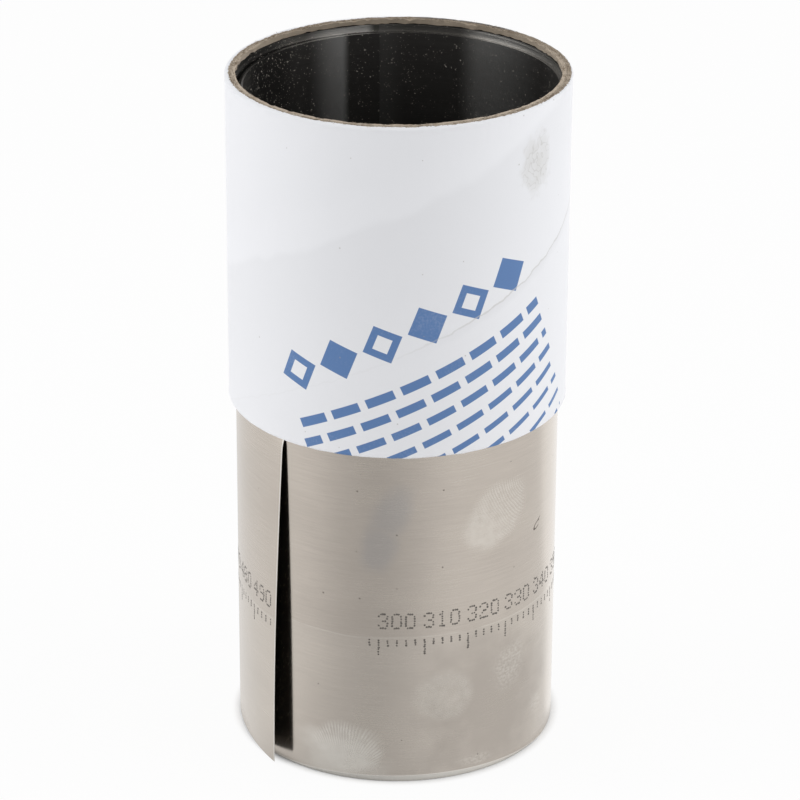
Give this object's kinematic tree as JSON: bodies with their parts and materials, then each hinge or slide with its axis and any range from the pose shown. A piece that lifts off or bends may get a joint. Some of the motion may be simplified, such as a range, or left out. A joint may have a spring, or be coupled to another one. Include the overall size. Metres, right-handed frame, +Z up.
{
  "type": "shim stock roll",
  "caption": "Upright roll of thin steel shim stock, wound round an open bore with a loose outer end, held by a short paper-faced cardboard sleeve round its upper half.",
  "frame": {"origin": "centre of the roll's axis at the floor that its seated turns stand on", "axes": "+Z up along the roll's axis; +X to the right and +Y away in the view of the picture, so the loose outer end is at the front left"},
  "size_m": [0.0742, 0.0742, 0.153],
  "materials": {
    "steel_strip": "bright cold-rolled steel with fine rolling lines, handling marks and dust",
    "sleeve_board": "wound brown board with a smooth white paper face and raw, frayed cut edges"
  },
  "bodies": {
    "roll": {"shim_coil": "steel_strip"},
    "sleeve": {"sleeve": "sleeve_board"}
  },
  "joints": [
    {"name": "sleeve_slide", "type": "slide", "parent": "roll", "child": "sleeve", "axis": [0, 0, 1], "range_m": [0, 0.076]}
  ]
}
